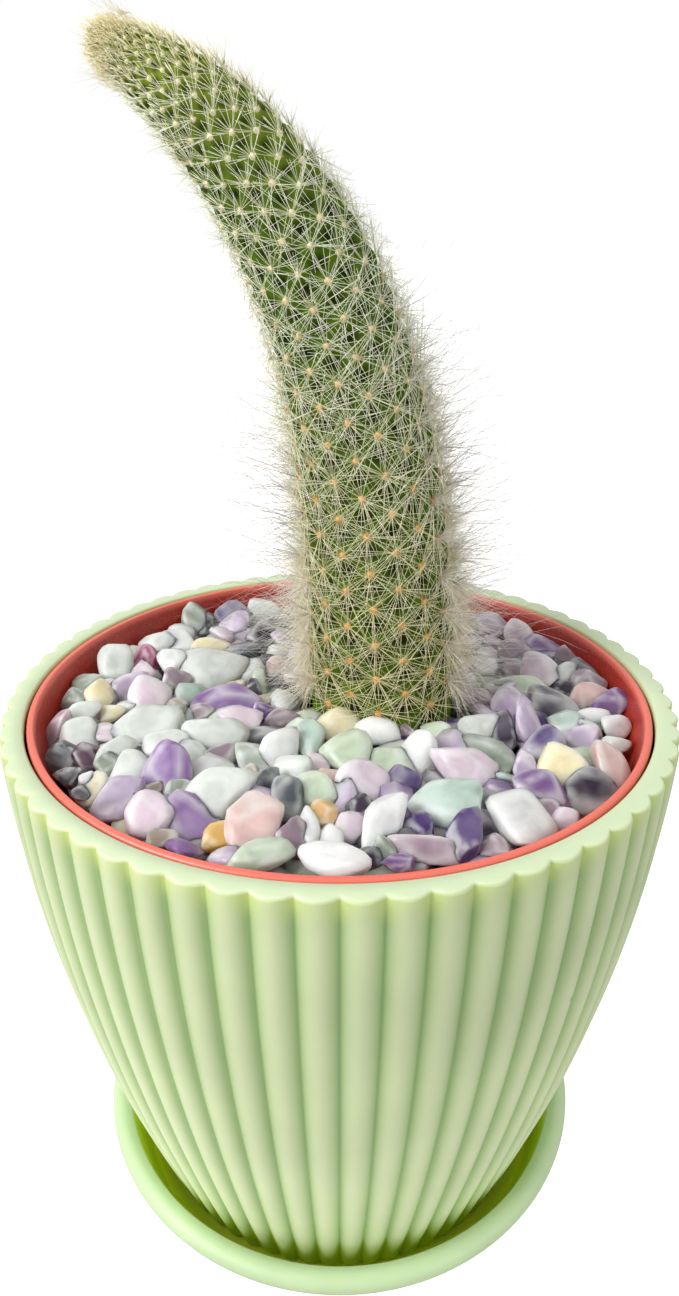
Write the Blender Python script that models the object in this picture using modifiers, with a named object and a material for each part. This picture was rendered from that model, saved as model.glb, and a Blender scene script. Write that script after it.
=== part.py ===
"""Potted monkey tail cactus.

A curved cactus stem with fine spines stands in a nursery pot that is filled with soil and dressed
with tumbled stone chips. The nursery pot stands in a ribbed outer pot, which stands in a saucer.

Frame: the origin is on the pots' axis, on the surface that the saucer stands on. +Z is up, and
the photograph is taken from -Y. All lengths are in metres.
"""
import math
import random

import bmesh
import bpy
from mathutils import Matrix, Vector

MM = 0.001
CLEARANCE = 0.3 * MM

# Heights above the surface
SAUCER_FLOOR = 2.2 * MM
SAUCER_LIP = 13.6 * MM
RIM_HEIGHT = 102.5 * MM
GRAVEL_LEVEL = 99.0 * MM
SOIL_LEVEL = 90.0 * MM

# Saucer
SAUCER_RADIUS = 47.4 * MM
SAUCER_LIP_WIDTH = 3.8 * MM
SAUCER_FLOOR_RADIUS = 38.4 * MM
SAUCER_FOOT_RADIUS = 39.0 * MM
ROUND_STEPS = 48

# Outer pot: its side swells out from the base to the rim, and carries the ribs
RIM_RADIUS = 56.0 * MM
POT_BASE_RADIUS = 37.5 * MM
POT_SWELL_POWER = 1.8
POT_WALL = 1.6 * MM
POT_FLOOR = 2.2 * MM
RIM_INNER_RADIUS = 52.3 * MM
RIM_DEPTH = 4.0 * MM
RIBS = 62
RIB_POINTS = 4
GROOVE_AT_RIM = 1.1 * MM
GROOVE_AT_BASE = 0.8 * MM
POT_DRAIN_HOLES = 4
POT_DRAIN_RADIUS = 4.0 * MM
POT_DRAIN_CIRCLE = 22.0 * MM

# Nursery pot
NURSERY_RADIUS = 51.9 * MM
NURSERY_RIM_DROP = 0.2 * MM
NURSERY_RIM_WIDTH = 2.2 * MM
NURSERY_RIM_BAND = 8.0 * MM
NURSERY_SHOULDER = 50.0 * MM
NURSERY_BASE_RADIUS = 34.0 * MM
NURSERY_WALL = 1.1 * MM
NURSERY_DRAIN_HOLES = 5
NURSERY_DRAIN_RADIUS = 4.0 * MM
NURSERY_DRAIN_CIRCLE = 21.0 * MM

# Cutters reach past what they cut by this much
OVERCUT = 2.0 * MM

# Cactus stem: it leans by LEAN at its foot, where it is wider by the share FLARE, and bends over
# by BEND more towards its tip. Radii are over the tubercles' tips.
STEM_FOOT = Vector((7.7 * MM, 4.0 * MM, GRAVEL_LEVEL))
STEM_LENGTH = 112.8 * MM
STEM_RADIUS = 12.2 * MM
STEM_FLARE = 0.15
STEM_FLARE_POWER = 4.0
STEM_LEAN = math.radians(2.5)
STEM_BEND = math.radians(66.0)
STEM_BEND_POWER = 2.25
STEM_TAPER_POWER = 3.65
STEM_TIP_POWER = 0.57
STEM_ROOT = 20.0 * MM
STEM_WALK = 0.25 * MM
STEM_HOLE_CLEARANCE = 0.5 * MM
STEM_RIBS = 18
TUBERCLE = 1.15 * MM
AREOLE_STEP = 6.0 * MM
AREOLE_STEP_SHRINK = 0.75
AREOLE_STEP_POWER = 3.5

# Spines, and the long hairs round the sides and back of the stem's lower part
SPINE_LENGTH = 4.5 * MM
SPINE_WIDTH = 0.55 * MM
SPINE_TIP_SHORTENING = 0.35
SPINE_LOWEST = 5.0 * MM
SPINE_ROOT = 1.0 * MM
SPINE_OFFSET = 0.45 * MM
HAIR_LENGTH = 12.0 * MM
HAIR_WIDTH = 0.6 * MM
HAIR_TOP = 52.0 * MM
HAIR_SHARE = 0.55
HAIR_FREE_FRONT = math.radians(50.0)

# Stone chips
CHIP_LENGTH = 11.0 * MM
CHIP_COUNT = 74
CHIP_RISE = 2.6 * MM
CHIP_TILT = 22.0
CHIP_SHAPES = 6
CHIP_TRIES = 1500


def clear_scene():
    """Remove every object that the scene starts with."""
    for old in list(bpy.data.objects):
        bpy.data.objects.remove(old, do_unlink=True)


def collection(name):
    """Make a collection in the scene."""
    group = bpy.data.collections.new(name)
    bpy.context.scene.collection.children.link(group)
    return group


def material(name, color, roughness, metallic=0.0):
    """Make a Principled material with one colour, given as linear red, green and blue."""
    finish = bpy.data.materials.new(name)
    finish.use_nodes = True
    shader = finish.node_tree.nodes["Principled BSDF"]
    shader.inputs["Base Color"].default_value = (*color, 1.0)
    shader.inputs["Roughness"].default_value = roughness
    shader.inputs["Metallic"].default_value = metallic
    return finish


def add_object(name, mesh, group, finish=None):
    """Link a mesh to a collection as an object with one material."""
    thing = bpy.data.objects.new(name, mesh)
    group.objects.link(thing)
    if finish is not None:
        mesh.materials.clear()
        mesh.materials.append(finish)
    return thing


def smooth(thing, angle=math.radians(35.0)):
    """Shade an object smooth, with its sharp edges kept."""
    thing.data.shade_smooth()
    thing.data.set_sharp_from_angle(angle=angle)


def bake_modifiers(thing):
    """Apply an object's modifiers by taking its evaluated mesh."""
    bpy.context.view_layer.update()
    depsgraph = bpy.context.evaluated_depsgraph_get()
    mesh = bpy.data.meshes.new_from_object(thing.evaluated_get(depsgraph))
    thing.modifiers.clear()
    thing.data = mesh


def turned(name, profile, group, finish=None, steps=ROUND_STEPS):
    """Turn a profile of (radius, height) points about the Z axis.

    The profile runs from the axis over the top, down the outer side and back to the axis.
    """
    outline = bmesh.new()
    corners = [outline.verts.new((radius, 0.0, height)) for radius, height in profile]
    for first, second in zip(corners, corners[1:]):
        outline.edges.new((first, second))
    mesh = bpy.data.meshes.new(name)
    outline.to_mesh(mesh)
    outline.free()
    thing = add_object(name, mesh, group, finish)
    screw = thing.modifiers.new("turn", "SCREW")
    screw.axis = "Z"
    screw.steps = steps
    screw.render_steps = steps
    screw.use_merge_vertices = True
    screw.merge_threshold = 0.01 * MM
    bake_modifiers(thing)
    return thing


def arc(center, radius, start, end, count):
    """Points of an arc in (radius, height), with angles in degrees from the outward direction."""
    angles = [math.radians(start + (end - start) * step / (count - 1)) for step in range(count)]
    return [(center[0] + radius * math.cos(a), center[1] + radius * math.sin(a)) for a in angles]


def cut(thing, cutter):
    """Cut one object out of another, and hide the cutter."""
    cutter.hide_render = True
    cutter.display_type = "WIRE"
    boolean = thing.modifiers.new("cut " + cutter.name, "BOOLEAN")
    boolean.operation = "DIFFERENCE"
    boolean.object = cutter
    boolean.solver = "EXACT"


def hole_cutter(name, radius, place, depth, group, sides=24):
    """A vertical cylinder centred at a place."""
    drill = bmesh.new()
    bmesh.ops.create_cone(drill, cap_ends=True, segments=sides, radius1=radius, radius2=radius,
                          depth=depth, matrix=Matrix.Translation(place))
    mesh = bpy.data.meshes.new(name)
    drill.to_mesh(mesh)
    drill.free()
    return add_object(name, mesh, group)


def fuse(body, repeats):
    """Join a collection of small repeats to the body that they grow from, and drop the collection.

    The manifold solver takes hundreds of closed repeats at once, where the exact one is slow.
    """
    union = body.modifiers.new("join repeats", "BOOLEAN")
    union.operation = "UNION"
    union.operand_type = "COLLECTION"
    union.collection = repeats
    union.solver = "MANIFOLD"
    bake_modifiers(body)
    for repeat in list(repeats.objects):
        bpy.data.objects.remove(repeat, do_unlink=True)
    bpy.data.collections.remove(repeats)


def drop_scraps(thing):
    """Keep only a mesh's largest connected piece, where a cut has left loose scraps."""
    shape = bmesh.new()
    shape.from_mesh(thing.data)
    waiting = set(shape.verts)
    pieces = []
    while waiting:
        front = [waiting.pop()]
        piece = set(front)
        while front:
            corner = front.pop()
            for edge in corner.link_edges:
                neighbour = edge.other_vert(corner)
                if neighbour in waiting:
                    waiting.remove(neighbour)
                    piece.add(neighbour)
                    front.append(neighbour)
        pieces.append(piece)
    pieces.sort(key=len)
    scraps = [corner for piece in pieces[:-1] for corner in piece]
    bmesh.ops.delete(shape, geom=scraps, context="VERTS")
    shape.to_mesh(thing.data)
    shape.free()


def pot_radius(height):
    """Outer radius of the outer pot over its rib tops, at a height above the surface."""
    share = (height - SAUCER_FLOOR - CLEARANCE) / (RIM_HEIGHT - SAUCER_FLOOR - CLEARANCE)
    swell = 1.0 - (1.0 - share) ** POT_SWELL_POWER
    return POT_BASE_RADIUS + (RIM_RADIUS - POT_BASE_RADIUS) * swell


def groove_depth(height):
    """Depth of the grooves between the outer pot's ribs, at a height above the surface."""
    return GROOVE_AT_BASE + (GROOVE_AT_RIM - GROOVE_AT_BASE) * height / RIM_HEIGHT


def nursery_radius(height):
    """Outer radius of the nursery pot's tapered wall, at a height above the surface."""
    foot = nursery_foot()
    shoulder = RIM_HEIGHT - NURSERY_RIM_BAND
    share = (height - foot) / (shoulder - foot)
    return NURSERY_BASE_RADIUS + (NURSERY_SHOULDER - NURSERY_BASE_RADIUS) * share


def nursery_foot():
    """Height of the nursery pot's underside."""
    return SAUCER_FLOOR + CLEARANCE + POT_FLOOR + CLEARANCE


def make_saucer(group, finish):
    """A dish with a flat underside, a flared wall and a rounded lip."""
    lip = SAUCER_LIP_WIDTH / 2
    middle = (SAUCER_RADIUS - lip, SAUCER_LIP - lip)
    wall_inside = (SAUCER_FLOOR_RADIUS + 2.4 * MM, SAUCER_FLOOR + 2.4 * MM)
    wall_outside = (SAUCER_FOOT_RADIUS + 2.6 * MM, SAUCER_FLOOR)
    profile = [(0.0, SAUCER_FLOOR), (SAUCER_FLOOR_RADIUS, SAUCER_FLOOR), wall_inside]
    profile += arc(middle, lip, 180.0, -35.0, 6)
    profile += [wall_outside, (SAUCER_FOOT_RADIUS, 0.0), (0.0, 0.0)]
    saucer = turned("saucer", profile, group, finish)
    smooth(saucer)
    return saucer


def bridge_rings(solid, rings):
    """Join rings of vertices, one after the other, into a tube. Each ring gets its own edges."""
    for ring in rings:
        for first, second in zip(ring, ring[1:] + ring[:1]):
            solid.edges.new((first, second))
    for lower, upper in zip(rings, rings[1:]):
        corners = set(lower) | set(upper)
        loops = [edge for edge in solid.edges if set(edge.verts) <= corners]
        bmesh.ops.bridge_loops(solid, edges=loops)


def drill_floor(pot, count, radius, circle, floor, cutters):
    """Drill a circle of round drain holes through a pot's floor."""
    for number in range(count):
        angle = math.tau * (number + 0.5) / count
        place = Vector((circle * math.cos(angle), circle * math.sin(angle), floor))
        name = f"{pot.name}_drain_{number}"
        cut(pot, hole_cutter(name, radius, place, 4 * OVERCUT, cutters, 16))


def make_outer_pot(group, cutters, finish):
    """A ribbed body, hollowed by a turned cutter, with drain holes in its floor.

    Between two grooves a rib is a parabola across. A groove faces the front.
    """
    foot = SAUCER_FLOOR + CLEARANCE
    ribbed = bmesh.new()
    rings = []
    for height in (foot, 17.0 * MM, 40.0 * MM, 70.0 * MM, RIM_HEIGHT):
        ring = []
        for step in range(RIBS * RIB_POINTS):
            across = 2.0 * (step % RIB_POINTS) / RIB_POINTS - 1.0
            angle = math.tau * step / (RIBS * RIB_POINTS) - math.pi / 2
            radius = pot_radius(height) - groove_depth(height) * across ** 2
            ring.append(ribbed.verts.new((radius * math.cos(angle), radius * math.sin(angle), height)))
        rings.append(ring)
    bridge_rings(ribbed, rings)
    ribbed.faces.new(rings[0])
    ribbed.faces.new(rings[-1])
    bmesh.ops.recalc_face_normals(ribbed, faces=ribbed.faces)
    mesh = bpy.data.meshes.new("outer_pot")
    ribbed.to_mesh(mesh)
    ribbed.free()
    pot = add_object("outer_pot", mesh, group, finish)

    floor = foot + POT_FLOOR
    inner = [(0.0, RIM_HEIGHT + OVERCUT), (RIM_INNER_RADIUS, RIM_HEIGHT + OVERCUT)]
    inner += [(RIM_INNER_RADIUS, RIM_HEIGHT - RIM_DEPTH)]
    for height in (92.0 * MM, 62.0 * MM, 32.0 * MM, floor):
        inner.append((pot_radius(height) - groove_depth(height) - POT_WALL, height))
    inner.append((0.0, floor))
    cut(pot, turned("outer_pot_hollow", inner, cutters))
    drill_floor(pot, POT_DRAIN_HOLES, POT_DRAIN_RADIUS, POT_DRAIN_CIRCLE, floor, cutters)
    bake_modifiers(pot)
    smooth(pot)
    return pot


def make_nursery_pot(group, cutters, finish):
    """A thin tapered pot with a rolled rim and a band below it."""
    foot = nursery_foot()
    top = RIM_HEIGHT - NURSERY_RIM_DROP
    roll = NURSERY_RIM_WIDTH / 2
    inner_rim = NURSERY_RADIUS - NURSERY_RIM_WIDTH
    band = RIM_HEIGHT - NURSERY_RIM_BAND
    floor = foot + NURSERY_WALL
    profile = [(0.0, floor), (nursery_radius(floor) - NURSERY_WALL, floor)]
    profile += [(NURSERY_SHOULDER - NURSERY_WALL, band), (inner_rim, top - roll)]
    profile += arc((NURSERY_RADIUS - roll, top - roll), roll, 135.0, 0.0, 4)
    profile += [(NURSERY_RADIUS - 0.4 * MM, band), (NURSERY_SHOULDER, band - 0.6 * MM)]
    profile += [(NURSERY_BASE_RADIUS, foot), (0.0, foot)]
    nursery = turned("nursery_pot", profile, group, finish)
    drill_floor(nursery, NURSERY_DRAIN_HOLES, NURSERY_DRAIN_RADIUS, NURSERY_DRAIN_CIRCLE, floor, cutters)
    bake_modifiers(nursery)
    smooth(nursery)
    return nursery


def stem_hole(name, cutters, bottom, top):
    """The plain round hole that the stem stands in."""
    radius = stem_radius(0.0) + STEM_HOLE_CLEARANCE
    place = Vector((STEM_FOOT.x, STEM_FOOT.y, (bottom + top) / 2))
    return hole_cutter(name, radius, place, top - bottom, cutters, 36)


def make_soil(group, cutters, finish):
    """The soil fills the nursery pot, up to the gravel."""
    floor = nursery_foot() + NURSERY_WALL + CLEARANCE
    gap = NURSERY_WALL + 2 * CLEARANCE
    profile = [(0.0, SOIL_LEVEL), (nursery_radius(SOIL_LEVEL) - gap, SOIL_LEVEL)]
    profile += [(nursery_radius(floor) - gap, floor), (0.0, floor)]
    soil = turned("soil", profile, group, finish, steps=36)
    root_end = GRAVEL_LEVEL - STEM_ROOT - CLEARANCE
    cut(soil, stem_hole("soil_hole", cutters, root_end, SOIL_LEVEL + OVERCUT))
    bake_modifiers(soil)
    smooth(soil)
    return soil


def chip_meshes():
    """A few tumbled stone shapes of unit length, like worn splinters of rock."""
    rng = random.Random(5)
    shapes = []
    for number in range(CHIP_SHAPES):
        chip = bmesh.new()
        bmesh.ops.create_icosphere(chip, subdivisions=1, radius=0.5)
        for corner in chip.verts:
            corner.co *= rng.uniform(0.86, 1.12)
            corner.co.x *= 1.0 + 0.25 * corner.co.y
        mesh = bpy.data.meshes.new(f"chip_{number}")
        chip.to_mesh(mesh)
        chip.free()
        shapes.append(mesh)
    return shapes


def chip_places():
    """Places for the chips: a seeded scatter that keeps them apart, inside the nursery pot."""
    rng = random.Random(11)
    outer = NURSERY_SHOULDER - NURSERY_WALL - 0.55 * CHIP_LENGTH
    inner = stem_radius(0.0) + 0.30 * CHIP_LENGTH
    places = []
    spacing = CHIP_LENGTH
    while len(places) < CHIP_COUNT:
        for attempt in range(CHIP_TRIES):
            radius = outer * math.sqrt(rng.random())
            angle = rng.uniform(0.0, math.tau)
            spot = Vector((radius * math.cos(angle), radius * math.sin(angle), 0.0))
            from_stem = (spot - Vector((STEM_FOOT.x, STEM_FOOT.y, 0.0))).length
            if from_stem < inner:
                continue
            if all((spot - other).length > spacing for other in places):
                places.append(spot)
                break
        else:
            spacing *= 0.97
    return places, rng


def make_gravel(group, cutters, finish):
    """A bed of stone chips, fused in one solid, with a hole for the stem."""
    bed_bottom = SOIL_LEVEL + CLEARANCE
    bed_top = GRAVEL_LEVEL - CHIP_RISE
    bed_radius = nursery_radius(bed_bottom) - NURSERY_WALL - CLEARANCE
    profile = [(0.0, bed_top), (bed_radius, bed_top), (bed_radius, bed_bottom), (0.0, bed_bottom)]
    bed = turned("gravel", profile, group, finish, steps=36)
    chips = collection("chips")
    shapes = chip_meshes()
    places, rng = chip_places()
    for number, spot in enumerate(places):
        length = CHIP_LENGTH * rng.uniform(0.80, 1.15)
        width = length * rng.uniform(0.75, 0.95)
        size = Matrix.Diagonal((length, width, length * rng.uniform(0.48, 0.60), 1.0))
        turn = Matrix.Rotation(rng.uniform(0.0, math.tau), 4, "Z")
        tilt = Matrix.Rotation(math.radians(rng.uniform(-CHIP_TILT, CHIP_TILT)), 4, "Y")
        height = bed_top + rng.uniform(0.5, 1.0) * CHIP_RISE
        chip = add_object(f"chip_{number}", rng.choice(shapes), chips)
        chip.matrix_world = Matrix.Translation((spot.x, spot.y, height)) @ turn @ tilt @ size
    fuse(bed, chips)
    cut(bed, stem_hole("gravel_hole", cutters, bed_bottom - OVERCUT, GRAVEL_LEVEL + CHIP_LENGTH))
    bake_modifiers(bed)
    drop_scraps(bed)
    return bed


def stem_radius(share):
    """Radius of the stem at a share of its length: flared at the foot, tapered to a round tip."""
    flare = 1.0 + STEM_FLARE * (1.0 - share) ** STEM_FLARE_POWER
    taper = (1.0 - share ** STEM_TAPER_POWER) ** STEM_TIP_POWER
    return STEM_RADIUS * flare * taper


def stem_axis():
    """Walk up the stem: its middle, heading, radius and share of its length, at each ring.

    The heading turns towards -X by a power of the distance. A ring comes at each half step from
    one areole to the next.
    """
    stations = []
    point = STEM_FOOT.copy()
    distance = 0.0
    next_ring = 0.0
    while distance < STEM_LENGTH:
        share = distance / STEM_LENGTH
        heading = STEM_LEAN + STEM_BEND * share ** STEM_BEND_POWER
        ahead = Vector((-math.sin(heading), 0.0, math.cos(heading)))
        if distance >= next_ring:
            stations.append((point.copy(), ahead, stem_radius(share), share))
            step = AREOLE_STEP * (1.0 - AREOLE_STEP_SHRINK * share ** AREOLE_STEP_POWER)
            next_ring += step / 2
        point += ahead * STEM_WALK
        distance += STEM_WALK
    return stations, point


def rib_direction(ahead, rib):
    """Direction of a rib, square to the stem's heading. Rib 0 faces the front."""
    angle = math.tau * rib / STEM_RIBS
    front = Vector((0.0, -1.0, 0.0))
    side = ahead.cross(front).normalized()
    return front * math.cos(angle) + side * math.sin(angle)


def has_areole(rib, ring):
    """Whether a rib has an areole at a ring: neighbouring ribs are half a step apart."""
    return (rib + ring) % 2 == 0


def make_stem(group, finish):
    """The stem's body: a blunt root end, and ribs that rise at each areole and dip between."""
    stations, tip = stem_axis()
    up = Vector((0.0, 0.0, 1.0))
    stem = bmesh.new()
    rings = []
    for depth, share in ((STEM_ROOT, 0.70), (STEM_ROOT - 3.0 * MM, 0.92), (3.0 * MM, 0.95)):
        middle = STEM_FOOT - up * depth
        radius = stem_radius(0.0) * share
        ring = [stem.verts.new(middle + rib_direction(up, rib) * radius) for rib in range(STEM_RIBS)]
        rings.append(ring)
    for number, (middle, ahead, radius, share) in enumerate(stations):
        ring = []
        for rib in range(STEM_RIBS):
            dip = 0.0 if has_areole(rib, number) else TUBERCLE * radius / STEM_RADIUS
            ring.append(stem.verts.new(middle + rib_direction(ahead, rib) * (radius - dip)))
        rings.append(ring)
    bridge_rings(stem, rings)
    top = stem.verts.new(tip)
    for first, second in zip(rings[-1], rings[-1][1:] + rings[-1][:1]):
        stem.faces.new((first, second, top))
    stem.faces.new(rings[0])
    bmesh.ops.triangulate(stem, faces=stem.faces)
    bmesh.ops.recalc_face_normals(stem, faces=stem.faces)
    mesh = bpy.data.meshes.new("cactus")
    stem.to_mesh(mesh)
    stem.free()
    return add_object("cactus", mesh, group, finish)


def spine_mesh():
    """A three-sided needle of unit width and length, from its root at the origin."""
    needle = bmesh.new()
    bmesh.ops.create_cone(needle, cap_ends=True, segments=3, radius1=0.5, radius2=0.0, depth=1.0,
                          matrix=Matrix.Translation((0.0, 0.0, 0.5)))
    bmesh.ops.remove_doubles(needle, verts=needle.verts, dist=0.001)
    mesh = bpy.data.meshes.new("spine")
    needle.to_mesh(mesh)
    needle.free()
    return mesh


def grow_spines(cactus):
    """Fuse one spine or long hair to the stem beside each areole above the stones."""
    rng = random.Random(3)
    spines = collection("spines")
    needle = spine_mesh()
    stations = stem_axis()[0]
    for number, (middle, ahead, radius, share) in enumerate(stations):
        above_stones = middle.z - GRAVEL_LEVEL
        if above_stones < SPINE_LOWEST:
            continue
        for rib in range(STEM_RIBS):
            if not has_areole(rib, number):
                continue
            direction = rib_direction(ahead, rib)
            across = ahead.cross(direction)
            from_front = abs(math.remainder(math.tau * rib / STEM_RIBS, math.tau))
            hairy = above_stones < HAIR_TOP and from_front > HAIR_FREE_FRONT
            length = SPINE_LENGTH * (1.0 - SPINE_TIP_SHORTENING * share)
            width = SPINE_WIDTH
            if hairy and rng.random() < HAIR_SHARE:
                length = HAIR_LENGTH * rng.uniform(0.75, 1.1)
                width = HAIR_WIDTH
            lean = ahead * (rng.uniform(0.1, 0.9) + share ** 6)
            aim = (direction + lean + across * rng.uniform(-0.7, 0.7)).normalized()
            root = middle + direction * radius + across * SPINE_OFFSET - aim * SPINE_ROOT
            turn = aim.to_track_quat("Z", "Y").to_matrix().to_4x4()
            size = Matrix.Diagonal((width, width, length + SPINE_ROOT, 1.0))
            spine = add_object(f"spine_{number}_{rib}", needle, spines)
            spine.matrix_world = Matrix.Translation(root) @ turn @ size
    fuse(cactus, spines)


clear_scene()
parts = collection("potted monkey tail cactus")
guides = collection("cutters")
mint = material("mint plastic", (0.60, 0.74, 0.48), 0.42)
terracotta = material("terracotta plastic", (0.72, 0.13, 0.07), 0.45)
peat = material("potting soil", (0.05, 0.03, 0.02), 0.95)
stone = material("stone chips", (0.62, 0.58, 0.64), 0.40)
green = material("cactus skin", (0.12, 0.22, 0.04), 0.55)
make_saucer(parts, mint)
make_outer_pot(parts, guides, mint)
make_nursery_pot(parts, guides, terracotta)
make_soil(parts, guides, peat)
make_gravel(parts, guides, stone)
grow_spines(make_stem(parts, green))
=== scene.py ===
"""Looks of the potted monkey tail cactus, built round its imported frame. Lengths are in metres."""
import math
import random

import bmesh
import bpy
from mathutils import Matrix, Vector, noise


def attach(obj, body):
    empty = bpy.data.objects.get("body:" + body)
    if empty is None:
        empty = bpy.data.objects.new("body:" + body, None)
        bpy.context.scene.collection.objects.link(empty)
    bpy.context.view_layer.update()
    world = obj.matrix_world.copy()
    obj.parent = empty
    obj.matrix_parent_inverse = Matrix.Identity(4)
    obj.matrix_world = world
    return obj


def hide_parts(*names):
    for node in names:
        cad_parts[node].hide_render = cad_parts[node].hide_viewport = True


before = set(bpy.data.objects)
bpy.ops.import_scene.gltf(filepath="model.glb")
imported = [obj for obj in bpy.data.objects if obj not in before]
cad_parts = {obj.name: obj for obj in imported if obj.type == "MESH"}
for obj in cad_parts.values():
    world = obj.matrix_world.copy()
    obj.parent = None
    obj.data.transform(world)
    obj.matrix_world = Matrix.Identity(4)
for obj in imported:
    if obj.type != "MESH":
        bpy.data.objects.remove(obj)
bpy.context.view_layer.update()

# The camera stands close in front of the pot and looks down at it, as the photograph was taken.
# Its lens is given for a picture 679 pixels wide and 1296 high.
MM = 0.001
PHOTO_WIDTH = 679
PHOTO_HEIGHT = 1296
FOCAL_PIXELS = 919
CAMERA_PLACE = Vector((0.0, -141.3 * MM, 175.6 * MM))
CAMERA_PITCH = math.radians(64.9)

lens = bpy.data.cameras.new("camera")
lens.lens = lens.sensor_width * FOCAL_PIXELS / PHOTO_HEIGHT
lens.clip_start = 0.01
camera = bpy.data.objects.new("camera", lens)
camera.location = CAMERA_PLACE
camera.rotation_euler = (CAMERA_PITCH, 0.0, 0.0)
bpy.context.scene.collection.objects.link(camera)
bpy.context.scene.camera = camera

# A white sweep of paper under soft daylight: a large panel high at the front left, a weaker one at
# the right, and bright surroundings. The floor is the paper, and it isn't part of the object.
# A panel has its place and width in millimetres, and its watts.
DAYLIGHT = ((-440, -220, 470), 360, 3.6)
FILL = ((420, -300, 300), 300, 0.5)
LIT_HEIGHT = 90.0 * MM
SURROUNDINGS = 0.68
PAPER_SIZE = 6.0
PAPER_GLOW = 0.84


def srgb(code, strength=1.0):
    """A colour for a socket, from its usual sRGB hex code."""
    parts = [int(code[place:place + 2], 16) / 255 for place in (1, 3, 5)]
    linear = [p / 12.92 if p < 0.04045 else ((p + 0.055) / 1.055) ** 2.4 for p in parts]
    return (*[strength * part for part in linear], 1.0)


def soft_panel(name, place, width, watts):
    """A square light panel, in millimetres, that faces the middle of the pot."""
    panel = bpy.data.lights.new(name, "AREA")
    panel.size = width * MM
    panel.energy = watts
    light = bpy.data.objects.new(name, panel)
    light.location = Vector(place) * MM
    toward = Vector((0.0, 0.0, LIT_HEIGHT)) - light.location
    light.rotation_euler = toward.to_track_quat("-Z", "Y").to_euler()
    bpy.context.scene.collection.objects.link(light)


def add_node(tree, kind, inputs=None, **settings):
    """Add a node to a material. An input is a value, or the output that is linked to it."""
    node = tree.nodes.new(kind)
    for name, value in settings.items():
        setattr(node, name, value)
    for name, value in (inputs or {}).items():
        socket = node.inputs[name]
        if isinstance(value, bpy.types.NodeSocket):
            tree.links.new(value, socket)
        else:
            socket.default_value = value
    return node


def new_finish(name, sockets):
    """A material with its node tree, its shader, set to these values, and Object coordinates."""
    finish = bpy.data.materials.new(name)
    finish.use_nodes = True
    tree = finish.node_tree
    shader = tree.nodes["Principled BSDF"]
    for socket, value in sockets.items():
        shader.inputs[socket].default_value = value
    place = add_node(tree, "ShaderNodeTexCoord").outputs["Object"]
    return finish, tree, shader, place


def as_mesh(name, shape):
    """Turn a shape that is ready into a mesh."""
    mesh = bpy.data.meshes.new(name)
    shape.to_mesh(mesh)
    shape.free()
    return mesh


soft_panel("daylight", *DAYLIGHT)
soft_panel("fill", *FILL)
sky = bpy.data.worlds.new("surroundings")
sky.use_nodes = True
backdrop = sky.node_tree.nodes["Background"]
seen = add_node(sky.node_tree, "ShaderNodeLightPath").outputs["Is Camera Ray"]
strength = add_node(sky.node_tree, "ShaderNodeMapRange", {"Value": seen, "To Min": SURROUNDINGS,
                    "To Max": 1.0})
backdrop.inputs["Color"].default_value = (1.0, 1.0, 1.0, 1.0)
sky.node_tree.links.new(strength.outputs["Result"], backdrop.inputs["Strength"])
bpy.context.scene.world = sky
bpy.context.scene.view_settings.view_transform = "Standard"

sheet = bmesh.new()
bmesh.ops.create_grid(sheet, x_segments=1, y_segments=1, size=PAPER_SIZE)
paper_mesh = as_mesh("paper_floor", sheet)
paper_floor = bpy.data.objects.new("paper_floor", paper_mesh)
bpy.context.scene.collection.objects.link(paper_floor)
paper, tree, shader, place = new_finish("white paper", {
    "Base Color": srgb("#c9c9c6"), "Roughness": 1.0, "Specular IOR Level": 0.0,
    "Emission Color": srgb("#ffffff")})
seen = add_node(tree, "ShaderNodeLightPath").outputs["Is Camera Ray"]
glow = add_node(tree, "ShaderNodeMath", {0: seen, 1: PAPER_GLOW}, operation="MULTIPLY")
tree.links.new(glow.outputs[0], shader.inputs["Emission Strength"])
paper_mesh.materials.append(paper)

# The saucer is one moulding of mint polypropylene with a smooth rounded lip and a flat underside.
# It is turned from its section, and the pot stands on its floor.
SAUCER_FLOOR = 2.2 * MM
SAUCER_LIP = 13.6 * MM
SAUCER_RADIUS = 47.4 * MM
LIP_RADIUS = 1.9 * MM
TURNING_STEPS = 144


def arc(center, radius, start, end, count):
    """Points of a section along an arc, in degrees, for a turned piece."""
    angles = [math.radians(start + (end - start) * n / count) for n in range(count + 1)]
    return [(center[0] + radius * math.cos(a), center[1] + radius * math.sin(a)) for a in angles]


def close(shape):
    """Close a shape's seams and poles, and point its faces outwards."""
    bmesh.ops.remove_doubles(shape, verts=shape.verts, dist=0.00001)
    bmesh.ops.recalc_face_normals(shape, faces=shape.faces)
    return shape


def turned(section, shaded=0, steps=TURNING_STEPS, angle=math.tau):
    """Spin a section of (radius, height) points about the pots' axis, from the front.

    The first points of the section that lie in the shade of another piece are marked as shaded.
    """
    shape = bmesh.new()
    shades = shape.verts.layers.float.new("shade")
    points = [shape.verts.new((0.0, -radius, height)) for radius, height in section]
    for point in points[:shaded]:
        point[shades] = 1.0
    edges = [shape.edges.new(pair) for pair in zip(points, points[1:])]
    bmesh.ops.spin(shape, geom=points + edges, cent=(0, 0, 0), axis=(0, 0, 1), angle=angle,
                   steps=steps, use_merge=angle == math.tau)
    return shape


def finished(name, shape, finish, slot, *nodes):
    """Make a piece from its shape, smooth it, and let it stand for its nodes of the frame."""
    mesh = as_mesh(name, shape)
    mesh.shade_smooth()
    mesh.materials.append(finish)
    piece = bpy.data.objects.new(name, mesh)
    bpy.context.scene.collection.objects.link(piece)
    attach(piece, "root")
    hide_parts(*nodes)


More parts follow.
